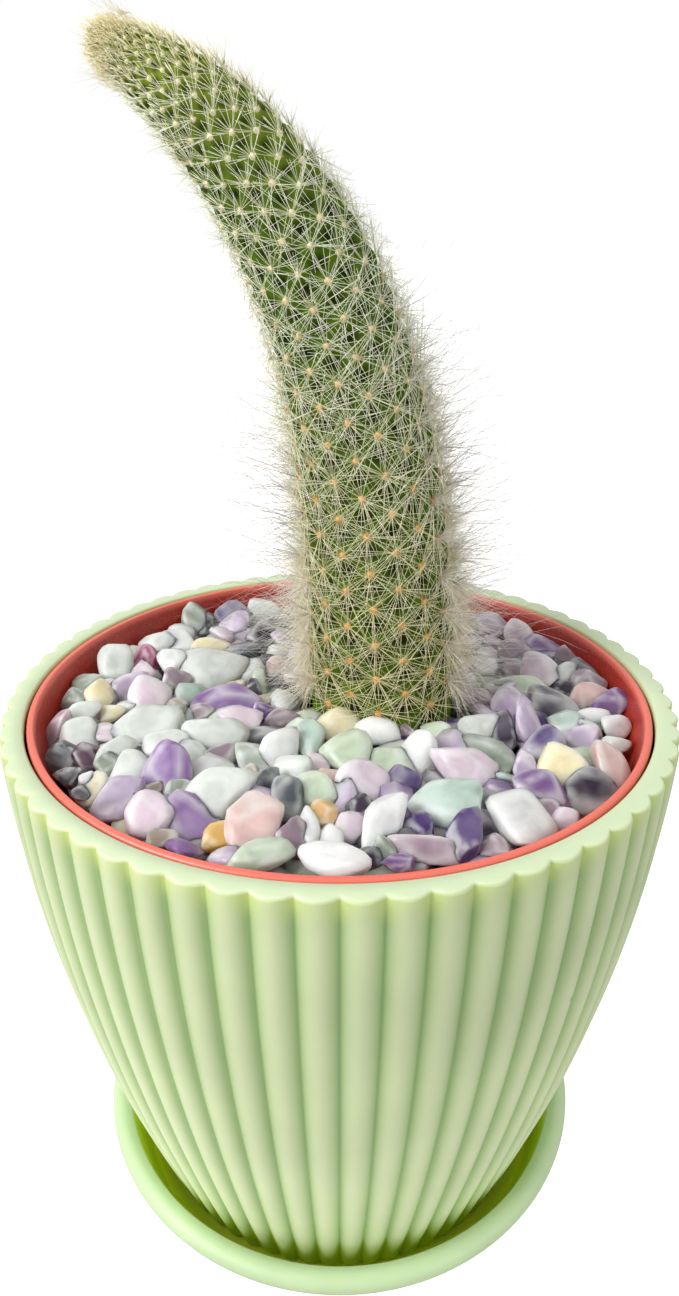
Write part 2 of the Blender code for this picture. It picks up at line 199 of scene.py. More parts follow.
def mint_polypropylene(name, tone, tint):
    """Injection-moulded mint polypropylene: satin, slightly cloudy, and see-through at thin edges.

    Where the attribute "shade" rises, the tone is painted towards the tint, as painted shade and
    painted light bounced between two faces. The clouds are about 22 mm wide. The grain of the mould
    is finer than the 1 mm here, which just shows. It gives the material, its tree, its shader, its
    coordinates and that color.
    """
    finish, tree, shader, place = new_finish(name, {
        "Roughness": 0.45, "IOR": 1.49, "Subsurface Weight": 0.3,
        "Subsurface Radius": (0.9, 1.0, 0.5), "Subsurface Scale": 2.0 * MM})
    cloud = add_node(tree, "ShaderNodeTexNoise", {"Vector": place, "Scale": 45.0, "Detail": 4.0})
    clouded = add_node(tree, "ShaderNodeMapRange", {"Value": cloud.outputs["Fac"], "From Min": 0.3,
                       "From Max": 0.7, "To Min": 0.93, "To Max": 1.05})
    shade = add_node(tree, "ShaderNodeAttribute", attribute_name="shade")
    mixed = add_node(tree, "ShaderNodeMix", {"Factor": shade.outputs["Fac"], 6: srgb(tone),
                     7: srgb(tint)}, data_type="RGBA")
    color = add_node(tree, "ShaderNodeVectorMath", {0: mixed.outputs[2],
                     "Scale": clouded.outputs["Result"]}, operation="SCALE")
    tree.links.new(color.outputs[0], shader.inputs["Base Color"])
    grain = add_node(tree, "ShaderNodeTexNoise", {"Vector": place, "Scale": 900.0, "Detail": 2.0})
    bump = add_node(tree, "ShaderNodeBump", {"Height": grain.outputs["Fac"], "Strength": 0.08,
                    "Distance": 0.1 * MM})
    tree.links.new(bump.outputs["Normal"], shader.inputs["Normal"])
    return finish, tree, shader, place, color.outputs[0]


# Along the floor, up the inner wall, over the lip, down the outer wall and in under the foot
section = [(0.0, SAUCER_FLOOR), (20.0 * MM, SAUCER_FLOOR), (37.4 * MM, SAUCER_FLOOR)]
section += arc((38.4 * MM, 4.6 * MM), 2.4 * MM, -90.0, -10.0, 5)
section += [(43.2 * MM, 11.2 * MM), (43.5 * MM, 12.2 * MM)]
inside = len(section)
section += arc((44.1 * MM, 12.6 * MM), 0.5 * MM, 180.0, 115.0, 4)
lip = (SAUCER_RADIUS - LIP_RADIUS, SAUCER_LIP - LIP_RADIUS)
section += arc(lip, LIP_RADIUS, 118.0, -35.0, 14)
section += [(44.3 * MM, 6.6 * MM), (41.6 * MM, 2.2 * MM), (40.4 * MM, 0.6 * MM)]
section += [(39.0 * MM, 0.0), (20.0 * MM, 0.0), (0.0, 0.0)]
# The inside of the saucer, up to its lip, is painted the olive tint as painted shade and bounced
# light
mint, _, shader = mint_polypropylene("moulded mint polypropylene, saucer", "#bed2ab",
                                     "#d6e83c")[:3]
shader.inputs["Subsurface Weight"].default_value = 0.8
shader.inputs["Subsurface Scale"].default_value = 5.0 * MM
finished("saucer_dish", close(turned(section, inside)), mint, "mint_plastic", "saucer")

# The outer pot is moulded in the same plastic. Its 62 upright ribs are round, the grooves between
# them are sharp, and they run out in a scalloped edge under a flat rim. Its floor is out of sight.
RIBS = 62
RIB_POINTS = 12
RIB_ROWS = 44
RIB_LENGTH = 99.0 * MM
POT_FOOT = 2.5 * MM
RIM_HEIGHT = 102.5 * MM
RIM_RADIUS = 56.0 * MM
POT_BASE_RADIUS = 37.5 * MM
POT_SWELL_POWER = 1.8
RIM_INNER_RADIUS = 52.3 * MM
GROOVE_AT_BASE = 0.8 * MM
GROOVE_AT_RIM = 1.1 * MM
POT_WALL = 1.6 * MM
POT_FLOOR = 4.7 * MM
RIM_ROUNDING = 0.5 * MM
FLASH = 0.22 * MM


def pot_radius(height):
    """Outer radius of the pot over its rib tops, at a height above the surface."""
    share = min(max((height - POT_FOOT) / (RIM_HEIGHT - POT_FOOT), 0.0), 1.0)
    swell = 1.0 - (1.0 - share) ** POT_SWELL_POWER
    return POT_BASE_RADIUS + (RIM_RADIUS - POT_BASE_RADIUS) * swell


def groove_depth(height):
    """Depth of the grooves between the ribs, at a height above the surface."""
    return GROOVE_AT_BASE + (GROOVE_AT_RIM - GROOVE_AT_BASE) * height / RIM_HEIGHT


# Along the underside, up the ribs, over the rim, down the inner wall and in along the floor
section = [(0.0, POT_FOOT), (20.0 * MM, POT_FOOT), (POT_BASE_RADIUS - 2.4 * MM, POT_FOOT)]
section += [(POT_BASE_RADIUS - 0.4 * MM, POT_FOOT)]
outer_heights = [POT_FOOT + 0.5 * MM + RIB_LENGTH * n / RIB_ROWS for n in range(RIB_ROWS + 1)]
section += [(pot_radius(height), height) for height in outer_heights]
edge = (RIM_RADIUS - RIM_ROUNDING, RIM_HEIGHT - RIM_ROUNDING)
section += arc(edge, RIM_ROUNDING, 0.0, 90.0, 4)
section += [(RIM_RADIUS - 1.6 * MM, RIM_HEIGHT), (RIM_INNER_RADIUS + 0.3 * MM, RIM_HEIGHT)]
section += [(RIM_INNER_RADIUS, RIM_HEIGHT - 0.3 * MM), (RIM_INNER_RADIUS, 98.5 * MM)]
for height in (98.4, 84.0, 70.0, 56.0, 42.0, 28.0, 16.0, 5.5):
    section.append((pot_radius(height * MM) - groove_depth(height * MM) - POT_WALL, height * MM))
section += [(POT_BASE_RADIUS - 4.0 * MM, POT_FLOOR), (20.0 * MM, POT_FLOOR), (0.0, POT_FLOOR)]
# One rib is turned and pressed in towards its two grooves, all the way in the outer 0.8 mm and
# not at all from 2 mm inwards, and then it is repeated
pot = turned(section, 0, RIB_POINTS, math.tau / RIBS)
shades = pot.verts.layers.float["shade"]
for point in pot.verts:
    radius = math.hypot(point.co.x, point.co.y)
    ridge = pot_radius(point.co.z)
    reach = (radius - ridge + 2.0 * MM) / (1.2 * MM)
    if reach <= 0.0 or radius < POT_BASE_RADIUS - 1.5 * MM:
        continue
    turn = (math.atan2(point.co.y, point.co.x) + math.pi / 2) * RIBS / math.tau
    across = 2.0 * (turn - math.floor(turn)) - 1.0
    cut = min(reach, 1.0) * groove_depth(point.co.z) * across ** 2 / radius
    # The grooves are marked to be painted darker, as painted shade
    if point.co.z < RIM_HEIGHT - RIM_ROUNDING:
        point[shades] = across ** 2
    point.co.x *= 1.0 - cut
    point.co.y *= 1.0 - cut
bmesh.ops.spin(pot, geom=pot.verts[:] + pot.edges[:] + pot.faces[:], cent=(0, 0, 0),
               axis=(0, 0, 1), angle=math.tau * (RIBS - 1) / RIBS, steps=RIBS - 1,
               use_duplicate=True)
close(pot)
# Bits of moulding flash hang from the scalloped edge
for point in pot.verts:
    if abs(point.co.z - edge[1]) < 0.4 * MM and point.co.xy.length > edge[0] - 1.2 * MM:
        flash = max(noise.noise(point.co * 400.0) + 0.1, 0.0) * FLASH
        point.co.z -= flash
        point.co.xy *= 1.0 + 0.4 * flash / edge[0]


def rise(tree, place, low, high, way="LINEAR"):
    """How far up a place is, from 0 at one height to 1 at another, in millimetres."""
    height = add_node(tree, "ShaderNodeSeparateXYZ", {"Vector": place}).outputs["Z"]
    return add_node(tree, "ShaderNodeMapRange", {"Value": height, "From Min": low * MM,
                    "From Max": high * MM}, interpolation_type=way).outputs["Result"]


# The pot's grooves are painted the darker tint, as painted shade
mint, tree, shader, place, color = mint_polypropylene("moulded mint polypropylene, pot", "#c7d2a7",
                                                      "#8fae6c")
height = add_node(tree, "ShaderNodeSeparateXYZ", {"Vector": place}).outputs["Z"]
shade = add_node(tree, "ShaderNodeAttribute", attribute_name="shade").outputs["Fac"]
# The lower wall is painted paler, as painted light that it catches from the paper
pale = add_node(tree, "ShaderNodeMapRange", {"Value": height, "From Min": 85.0 * MM,
                "From Max": 25.0 * MM, "To Min": 1.0, "To Max": 1.36})
color = add_node(tree, "ShaderNodeVectorMath", {0: color, "Scale": pale.outputs["Result"]},
                 operation="SCALE").outputs[0]
# Painted light: the thin edge under the rim is painted yellow-green where light shines through it,
# and the rim's flat top is painted palest where light falls on it from above
most = add_node(tree, "ShaderNodeMapRange", {"Value": shade, "To Min": 0.2, "To Max": 0.8})
glow = add_node(tree, "ShaderNodeMapRange", {"Value": height, "From Min": 97.5 * MM,
                "From Max": 101.5 * MM, "To Max": most.outputs["Result"]},
                interpolation_type="SMOOTHSTEP")
color = add_node(tree, "ShaderNodeMix", {"Factor": glow.outputs["Result"], 6: color,
                 7: srgb("#c9d77f")}, data_type="RGBA").outputs[2]
painted_top_light = rise(tree, place, 102.25, 102.45)
color = add_node(tree, "ShaderNodeMix", {"Factor": painted_top_light, 6: color, 7: srgb("#ceddb8")},
                 data_type="RGBA").outputs[2]
# Painted shade: down in the saucer the ribs' foot is painted olive, for the shade and the green
# light bounced there, and higher in the grooves than on the ribs
painted_shade_top = add_node(tree, "ShaderNodeMapRange", {"Value": shade, "To Min": 9.5 * MM,
                     "To Max": 15.5 * MM})
above = add_node(tree, "ShaderNodeMath", {0: height, 1: painted_shade_top.outputs["Result"]},
                 operation="SUBTRACT")
painted_foot_shade = add_node(tree, "ShaderNodeMapRange", {"Value": above.outputs[0], "From Min": -4.0 * MM,
                 "From Max": 2.0 * MM, "To Min": 1.0, "To Max": 0.0},
                 interpolation_type="SMOOTHSTEP")
color = add_node(tree, "ShaderNodeMix", {"Factor": painted_foot_shade.outputs["Result"], 6: color,
                 7: srgb("#9db226")}, data_type="RGBA").outputs[2]
# A few specks of dirt, about 1 mm wide and 18 mm apart
specks = add_node(tree, "ShaderNodeTexVoronoi", {"Vector": place, "Scale": 55.0})
dirt = add_node(tree, "ShaderNodeMapRange", {"Value": specks.outputs["Distance"],
                "From Min": 0.018, "From Max": 0.035, "To Min": 0.75, "To Max": 0.0})
color = add_node(tree, "ShaderNodeMix", {"Factor": dirt.outputs["Result"], 6: color,
                 7: srgb("#4a5238")}, data_type="RGBA").outputs[2]
tree.links.new(color, shader.inputs["Base Color"])
finished("ribbed_pot", pot, mint, "mint_plastic", "outer_pot")

# The nursery pot is thin moulded terracotta-coloured plastic, satin, with a turned-over rim. It
# stands in the outer pot, and its rim shows as a red-orange ring. Grit dusts its inner wall.
NURSERY_RADIUS = 51.9 * MM
NURSERY_TOP = 102.3 * MM
NURSERY_LIP = 1.2 * MM
NURSERY_FOOT = 5.0 * MM
NURSERY_FLOOR = 6.1 * MM

# Along the underside, up the wall, over the turned rim, down inside and in along the floor
section = [(0.0, NURSERY_FOOT), (20.0 * MM, NURSERY_FOOT), (33.2 * MM, NURSERY_FOOT)]
section += [(34.0 * MM, 5.8 * MM)]
section += [(50.0 * MM, 94.3 * MM), (NURSERY_RADIUS - 0.8 * MM, 94.5 * MM)]
section += [(NURSERY_RADIUS, 95.1 * MM)]
section += arc((NURSERY_RADIUS - 0.6 * MM, NURSERY_TOP - 0.6 * MM), 0.6 * MM, 0.0, 90.0, 5)
section += arc((NURSERY_RADIUS - NURSERY_LIP + 0.3 * MM, NURSERY_TOP - 0.3 * MM), 0.3 * MM, 90.0,
               180.0, 4)
section += [(50.0 * MM, 99.0 * MM), (49.4 * MM, 97.0 * MM), (NURSERY_RADIUS - 2.9 * MM, 94.4 * MM)]
section += [(32.9 * MM, NURSERY_FLOOR), (20.0 * MM, NURSERY_FLOOR), (0.0, NURSERY_FLOOR)]
terracotta, tree, shader, place = new_finish("terracotta-coloured polystyrene", {
    "Roughness": 0.34, "IOR": 1.55, "Subsurface Weight": 0.15,
    "Subsurface Radius": (1.0, 0.35, 0.2), "Subsurface Scale": 1.0 * MM})
# Painted shade: the wall below the rim is painted dark red, and only the rim has the plastic's own
# red-orange
rim = rise(tree, place, 100.8, 102.1, "SMOOTHSTEP")
plastic = add_node(tree, "ShaderNodeMix", {"Factor": rim, 6: srgb("#b02d1b"), 7: srgb("#e87160")},
                   data_type="RGBA")
# Grit is finer than this on the real wall; at 0.4 mm it just shows
dust = add_node(tree, "ShaderNodeTexNoise", {"Vector": place, "Scale": 2400.0, "Detail": 2.0})
most = add_node(tree, "ShaderNodeMapRange", {"Value": rim, "To Min": 0.55, "To Max": 0.04})
grit = add_node(tree, "ShaderNodeMapRange", {"Value": dust.outputs["Fac"], "From Min": 0.56,
                "From Max": 0.66, "To Max": most.outputs["Result"]})
color = add_node(tree, "ShaderNodeMix", {"Factor": grit.outputs["Result"], 6: plastic.outputs[2],
                 7: srgb("#5d2416")}, data_type="RGBA")
powder = add_node(tree, "ShaderNodeMapRange", {"Value": dust.outputs["Fac"], "From Min": 0.42,
                  "From Max": 0.32, "To Max": 0.12})
color = add_node(tree, "ShaderNodeMix", {"Factor": powder.outputs["Result"], 6: color.outputs[2],
                 7: srgb("#e09a84")}, data_type="RGBA")
tree.links.new(color.outputs[2], shader.inputs["Base Color"])
bump = add_node(tree, "ShaderNodeBump", {"Height": dust.outputs["Fac"], "Strength": 0.25,
                "Distance": 0.2 * MM})
tree.links.new(bump.outputs["Normal"], shader.inputs["Normal"])
finished("nursery_pot_rolled", close(turned(section)), terracotta, "terracotta_plastic",
         "nursery_pot")

# Peat-based potting mix fills the nursery pot. Only its top shows, in the gaps between the stones:
# dark, damp, rough crumbs of about 1.4 mm.
peat, tree, shader, place = new_finish("peat potting mix", {"Roughness": 0.95})
crumbs = add_node(tree, "ShaderNodeTexNoise", {"Vector": place, "Scale": 700.0, "Detail": 6.0})
color = add_node(tree, "ShaderNodeMix", {"Factor": crumbs.outputs["Fac"], 6: srgb("#1d120c"),
                 7: srgb("#4d3524")}, data_type="RGBA")
tree.links.new(color.outputs[2], shader.inputs["Base Color"])
bump = add_node(tree, "ShaderNodeBump", {"Height": crumbs.outputs["Fac"], "Strength": 1.0,
                "Distance": 1.0 * MM})
tree.links.new(bump.outputs["Normal"], shader.inputs["Normal"])
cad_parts["soil"].data.materials.clear()
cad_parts["soil"].data.materials.append(peat)

# The top dressing is tumbled quartz and fluorite: frosted, cloudy chips of white, pale green,
# lilac and amethyst, 5 to 10 mm long. Those that show in front lie where the photograph has them,
# leaning back on each other, and seeded ones fill the rest of the pot and the layer below.
GRAVEL_LEVEL = 98.4 * MM
GRAVEL_RADIUS = 49.2 * MM
GRAVEL_LEAN = math.radians(20.0)
GRAVEL_THICKNESS = 0.4
GRAVEL_LIFT = 1.2 * MM
# A placed stone is wider than it shows, because its neighbours lie over its edges
HIDDEN_EDGES = 1.27
STEM_FOOT = Vector((7.7 * MM, 4.0 * MM, 99.0 * MM))
STEM_CLEAR = 12.9 * MM
STONE_COLORS = {
    "white": "#e8e9e8", "milk": "#dadfd9", "mint": "#c6d6bc", "aqua": "#bed2c6",
    "sage": "#98a394", "slate": "#454b55", "lilac": "#e0cfda", "lavender": "#c2b0ca",
    "amethyst": "#8a64a0", "violet": "#4d2676", "plum": "#2e1a38", "mauve": "#a48f9c",
    "rose": "#dfc0ba", "cream": "#eadfb6", "honey": "#dfb67c", "ochre": "#dcae36",
    "magenta": "#a81a6c", "wine": "#561a42", "taupe": "#a99b8c"}
# Color, place in the picture, width and height there in pixels, and turn in degrees
BEDDED_STONES = (
    ("sage", 178, 612, 24, 38, 0), ("milk", 143, 637, 40, 20, 25), ("milk", 177, 643, 36, 24, 0),
    ("magenta", 147, 660, 28, 28, 0), ("cream", 213, 648, 38, 18, -5),
    ("milk", 214, 672, 66, 44, 8), ("sage", 80, 684, 28, 20, 0), ("sage", 74, 700, 22, 20, 0),
    ("lilac", 112, 690, 18, 24, 0), ("lavender", 132, 688, 38, 36, 0),
    ("mauve", 176, 684, 26, 28, 0), ("taupe", 178, 704, 20, 14, 0),
    ("cream", 113, 714, 24, 18, 20), ("mauve", 54, 730, 18, 42, -10),
    ("milk", 80, 736, 32, 32, 0), ("lilac", 106, 733, 34, 20, 0), ("milk", 150, 730, 60, 40, 10),
    ("slate", 60, 758, 30, 26, 0), ("wine", 88, 758, 28, 30, 0), ("slate", 68, 778, 26, 18, 0),
    ("plum", 82, 792, 20, 18, 0), ("cream", 96, 790, 22, 30, -20), ("sage", 110, 766, 26, 24, 0),
    ("milk", 135, 772, 40, 38, 50), ("lavender", 119, 797, 36, 48, 15),
    ("taupe", 152, 790, 20, 16, 0), ("taupe", 165, 838, 30, 18, 0),
    ("amethyst", 190, 820, 58, 42, -10), ("ochre", 221, 836, 36, 22, 20),
    ("sage", 180, 790, 24, 18, 0), ("mauve", 200, 712, 24, 20, 0),
    ("amethyst", 229, 703, 60, 34, 0), ("mauve", 222, 756, 34, 20, 10),
    ("milk", 191, 757, 34, 26, -20), ("mint", 258, 683, 24, 40, -15),
    ("slate", 265, 736, 42, 22, 0), ("mauve", 282, 719, 30, 18, -10),
    ("mint", 300, 728, 30, 26, 0), ("sage", 256, 760, 44, 28, -40),
    ("taupe", 248, 783, 22, 32, 0), ("milk", 291, 772, 38, 28, 20),
    ("lilac", 318, 766, 24, 22, 0), ("slate", 268, 785, 24, 26, 0),
    ("mauve", 298, 842, 40, 36, -30), ("white", 330, 839, 28, 26, 0),
    ("milk", 372, 722, 24, 16, 20), ("mint", 392, 766, 42, 40, 30),
    ("lavender", 342, 800, 34, 38, -20), ("plum", 360, 808, 26, 22, 0),
    ("lilac", 350, 826, 28, 26, 0), ("plum", 372, 858, 26, 20, 0), ("mauve", 407, 735, 14, 18, 0),
    ("mint", 440, 735, 34, 28, 0), ("plum", 502, 738, 32, 50, 20),
    ("sage", 486, 757, 52, 34, -35), ("violet", 402, 786, 38, 34, 10),
    ("slate", 490, 812, 46, 56, 30), ("violet", 420, 828, 32, 30, 0),
    ("plum", 484, 828, 28, 32, -20), ("mauve", 492, 848, 38, 24, 10),
    ("mauve", 425, 851, 64, 24, -5), ("amethyst", 402, 863, 36, 16, 0),
    ("slate", 396, 842, 32, 22, 0), ("sage", 384, 855, 22, 28, -30),
    ("lavender", 500, 622, 30, 24, 0), ("lilac", 530, 632, 28, 26, 0),
    ("amethyst", 544, 648, 32, 26, -30), ("mauve", 515, 653, 28, 26, 0),
    ("mauve", 567, 658, 28, 22, -20), ("slate", 598, 675, 26, 38, 20),
    ("mauve", 588, 686, 30, 24, -20), ("plum", 567, 690, 26, 18, 0),
    ("mint", 524, 690, 52, 24, 0), ("lavender", 511, 707, 38, 36, 0),
    ("plum", 553, 711, 48, 38, -20), ("rose", 590, 700, 38, 26, 0),
    ("amethyst", 619, 706, 24, 32, -35), ("white", 590, 718, 34, 18, 0),
    ("aqua", 588, 730, 22, 20, 0), ("lavender", 584, 742, 36, 30, 0),
    ("white", 619, 727, 28, 20, 0), ("milk", 616, 745, 26, 16, 0),
    ("lavender", 524, 766, 26, 26, 0), ("plum", 590, 791, 50, 38, 20),
    ("mauve", 548, 811, 26, 24, 0), ("lilac", 565, 821, 32, 22, 0),
    ("amethyst", 262, 710, 20, 16, 0), ("lavender", 237, 625, 30, 26, 0),
    ("plum", 262, 634, 28, 26, 0), ("milk", 258, 606, 30, 24, 0),
    ("violet", 222, 606, 30, 22, 10), ("sage", 200, 622, 24, 24, 0), ("plum", 252, 690, 18, 20, 0))
STONES_ON_TOP = (
    ("white", 172, 661, 27, 22, 0), ("milk", 114, 664, 36, 38, 40), ("cream", 98, 697, 26, 28, 0),
    ("lilac", 149, 696, 36, 34, -10), ("milk", 83, 712, 38, 18, 8),
    ("milk", 115, 749, 38, 20, 20), ("milk", 165, 742, 40, 26, 20), ("white", 87, 778, 14, 12, 0),
    ("amethyst", 168, 771, 48, 46, -30), ("lilac", 147, 817, 44, 42, 20),
    ("milk", 215, 796, 54, 60, 0), ("milk", 214, 735, 56, 30, -12),
    ("lilac", 243, 722, 42, 24, -15), ("aqua", 310, 741, 24, 40, 20),
    ("white", 280, 751, 36, 37, 0), ("slate", 287, 798, 28, 44, 20),
    ("mint", 314, 789, 40, 36, 0), ("rose", 256, 824, 50, 60, -15),
    ("white", 310, 827, 16, 38, 35), ("honey", 323, 813, 26, 28, 0),
    ("mint", 262, 854, 66, 28, 0), ("white", 331, 859, 68, 30, 0),
    ("cream", 339, 726, 40, 30, 15), ("mint", 350, 753, 50, 42, -10),
    ("lilac", 364, 784, 48, 40, -15), ("white", 378, 731, 40, 30, -10),
    ("white", 420, 755, 34, 46, 0), ("milk", 480, 728, 52, 28, 12),
    ("lilac", 467, 767, 62, 36, -30), ("aqua", 444, 803, 62, 44, 10),
    ("white", 385, 824, 36, 58, -32), ("violet", 463, 836, 38, 42, 20),
    ("white", 522, 818, 54, 58, 10), ("lilac", 541, 671, 42, 32, -25),
    ("milk", 569, 673, 30, 18, -10), ("lavender", 530, 727, 28, 54, 5),
    ("violet", 544, 746, 34, 46, -40), ("rose", 620, 768, 32, 42, 0),
    ("cream", 560, 766, 42, 38, 25), ("amethyst", 541, 787, 52, 32, -15))
FILL_COLORS = ("white", "milk", "milk", "mint", "aqua", "sage", "lilac", "lilac", "lavender",
               "amethyst", "violet", "mauve", "plum", "rose", "cream", "slate")
DARK_COLORS = ("violet", "amethyst", "plum", "slate", "lavender", "mauve")
DARK_FROM = 14.0 * MM
DARK_SHARE = 0.6
# A layer's number of stones, its height in millimetres, how close they lie, and how light they are;
# the lower layers are darker as painted shade
FILL_LAYERS = ((260, 98.0, 0.76, 0.95), (300, 95.8, 0.62, 0.7), (260, 93.2, 0.62, 0.4))
FILL_TRIES = 9000


def tumbled_stone(bed, rng, fineness, color, matrix):
    """Add a chip: a ball pressed by two broad faces, five to seven sides and a few facets.

    Its edges are worn round and frosted. The color's alpha rises from its faces to its edges.
    """
    chip = bmesh.new()
    stone_color = chip.verts.layers.float_color.new("stone")
    bmesh.ops.create_icosphere(chip, subdivisions=fineness, radius=1.0)
    sides = rng.choice((5, 5, 6, 7))
    planes = []
    for n in range(sides):
        turn = math.tau * (n + rng.uniform(-0.36, 0.36)) / sides
        plane = Vector((math.cos(turn), math.sin(turn), rng.uniform(-0.3, 0.3))).normalized()
        planes.append(plane / rng.uniform(0.68, 1.0))
    for level in (1.0, -1.0):
        tip = Vector((rng.uniform(-0.3, 0.3), rng.uniform(-0.3, 0.3), level))
        planes.append(tip / rng.uniform(0.72, 1.0))
        for _ in range(2):
            turn = rng.uniform(0.0, math.tau)
            facet = Vector((0.7 * math.cos(turn), 0.7 * math.sin(turn), 0.7 * level))
            planes.append(facet / rng.uniform(0.8, 1.0))
    wear = rng.uniform(6.0, 12.0)
    for corner in chip.verts:
        shares = [max(corner.co.dot(plane), 0.0) ** wear for plane in planes]
        press = sum(shares)
        corner.co *= press ** (-1.0 / wear)
        corner[stone_color] = (*color[:3], 1.0 - max(shares) / press)
    extent = [max(abs(corner.co[axis]) for corner in chip.verts) for axis in range(3)]
    fit = Matrix.Diagonal((1.0 / extent[0], 1.0 / extent[1], 1.0 / extent[2], 1.0))
    bmesh.ops.transform(chip, matrix=matrix @ fit, verts=chip.verts)
    mesh = as_mesh("chip", chip)
    bed.from_mesh(mesh)
    bpy.data.meshes.remove(mesh)


rng = random.Random(17)
bed = bmesh.new()
ahead = Vector((0.0, math.sin(CAMERA_PITCH), -math.cos(CAMERA_PITCH)))
upward = Vector((0.0, math.cos(CAMERA_PITCH), math.sin(CAMERA_PITCH)))
filled = []
for stones, lift in ((BEDDED_STONES, 0.0), (STONES_ON_TOP, GRAVEL_LIFT)):
    for name, x, y, width, height, turn in stones:
        # Follow the line of sight through its place in the picture down to the level of the bed
        sight = ahead + upward * ((PHOTO_HEIGHT / 2 - y) / FOCAL_PIXELS)
        sight.x = (x - PHOTO_WIDTH / 2) / FOCAL_PIXELS
        reach = (GRAVEL_LEVEL + lift - CAMERA_PLACE.z) / sight.z
        spot = CAMERA_PLACE + sight * reach
        scale = reach / FOCAL_PIXELS
        thickness = GRAVEL_THICKNESS * math.sqrt(width * height)
        size = Vector((width, height / math.cos(GRAVEL_LEAN), thickness)) * HIDDEN_EDGES * scale / 2
        flat = math.hypot(spot.x, spot.y)
        room = GRAVEL_RADIUS - 0.8 * size.x
        if flat > room:
            spot.x *= room / flat
            spot.y *= room / flat
        back = math.atan2(-sight.z, sight.y) + GRAVEL_LEAN + rng.uniform(-0.3, 0.3)
        aside = rng.uniform(-0.5, 0.5)
        across = Vector((math.cos(aside), math.sin(aside), 0.0))
        facing = Vector((across.y * math.cos(back), -across.x * math.cos(back), math.sin(back)))
        basis = Matrix((across, facing.cross(across), facing)).transposed().to_4x4()
        basis = basis @ Matrix.Rotation(math.radians(turn), 4, "Z") @ Matrix.Diagonal((*size, 1.0))
        color = srgb(STONE_COLORS[name], rng.uniform(0.85, 1.1))
        tumbled_stone(bed, rng, 3, color, Matrix.Translation(spot) @ basis)
        filled.append((spot.x, spot.y, 0.42 * (width + height) * scale / 2))

for count, level, gap, light in FILL_LAYERS:
    for _ in range(FILL_TRIES):
        if count == 0:
            break
        size = rng.uniform(2.8, 5.2) * MM
        radius = (GRAVEL_RADIUS - size) * math.sqrt(rng.random())
        angle = rng.uniform(0.0, math.tau)
        x, y = radius * math.cos(angle), radius * math.sin(angle)
        if math.hypot(x - STEM_FOOT.x, y - STEM_FOOT.y) < STEM_CLEAR + 0.6 * size:
            continue
        if any(math.hypot(x - a, y - b) < gap * (size + c) for a, b, c in filled):
            continue
        filled.append((x, y, size))
        count -= 1
        tilt = Matrix.Rotation(rng.uniform(-0.5, 0.5), 4, "X") @ Matrix.Rotation(
            rng.uniform(-0.5, 0.5), 4, "Y")
        shape = Matrix.Diagonal((size * 1.15, size * 0.9, size * GRAVEL_THICKNESS, 1.0))
        place = Matrix.Translation((x, y, level * MM + rng.uniform(-0.6, 0.6) * MM))
        spin = Matrix.Rotation(rng.uniform(0.0, math.tau), 4, "Z")
        kinds = DARK_COLORS if x > DARK_FROM and rng.random() < DARK_SHARE else FILL_COLORS
        # The lower layers are painted darker, as painted shade under the stones above them
        color = srgb(STONE_COLORS[rng.choice(kinds)], light)
        tumbled_stone(bed, rng, 2, color, place @ tilt @ spin @ shape)
    filled = []

# Tumbling leaves them frosted: clearer zones of about 8 mm and flaws of about 4 mm inside, pale
# edges that are worn and also carry painted light, and a fine grain, which is drawn at 0.7 mm,
# coarser than it is, so that it shows
frosted, tree, shader, place = new_finish("tumbled quartz and fluorite", {
    "Roughness": 0.33, "IOR": 1.5, "Transmission Weight": 0.1, "Subsurface Weight": 1.0,
    "Subsurface Radius": (1.0, 0.95, 0.9), "Subsurface Scale": 1.7 * MM})
stone = add_node(tree, "ShaderNodeAttribute", attribute_name="stone")
zones = add_node(tree, "ShaderNodeTexNoise", {"Vector": place, "Scale": 130.0, "Detail": 2.0,
                 "Distortion": 0.4})
clear = add_node(tree, "ShaderNodeMapRange", {"Value": zones.outputs["Fac"], "From Min": 0.44,
                 "From Max": 0.72, "To Max": 0.22})
color = add_node(tree, "ShaderNodeMix", {"Factor": clear.outputs["Result"],
                 6: stone.outputs["Color"], 7: srgb("#e6e8ea")}, data_type="RGBA").outputs[2]
flaws = add_node(tree, "ShaderNodeTexNoise", {"Vector": place, "Scale": 260.0, "Detail": 3.0,
                 "Roughness": 0.5, "Distortion": 0.6})
dark = add_node(tree, "ShaderNodeMapRange", {"Value": flaws.outputs["Fac"], "From Min": 0.34,
                "From Max": 0.62, "To Min": 0.82, "To Max": 1.04})
color = add_node(tree, "ShaderNodeVectorMath", {0: color, "Scale": dark.outputs["Result"]},
                 operation="SCALE").outputs[0]
worn_and_lit_edges = add_node(tree, "ShaderNodeMapRange", {"Value": stone.outputs["Alpha"], "From Min": 0.1,
                "From Max": 0.5, "To Max": 0.5})
color = add_node(tree, "ShaderNodeMix", {"Factor": worn_and_lit_edges.outputs["Result"], 6: color,
                 7: srgb("#e9ece7")}, data_type="RGBA").outputs[2]
tree.links.new(color, shader.inputs["Base Color"])
pits = add_node(tree, "ShaderNodeTexNoise", {"Vector": place, "Scale": 1500.0, "Detail": 3.0})
bump = add_node(tree, "ShaderNodeBump", {"Height": pits.outputs["Fac"], "Strength": 0.25,
                "Distance": 0.15 * MM})
tree.links.new(bump.outputs["Normal"], shader.inputs["Normal"])
finished("tumbled_stones", bed, frosted, "stone_chips", "gravel")

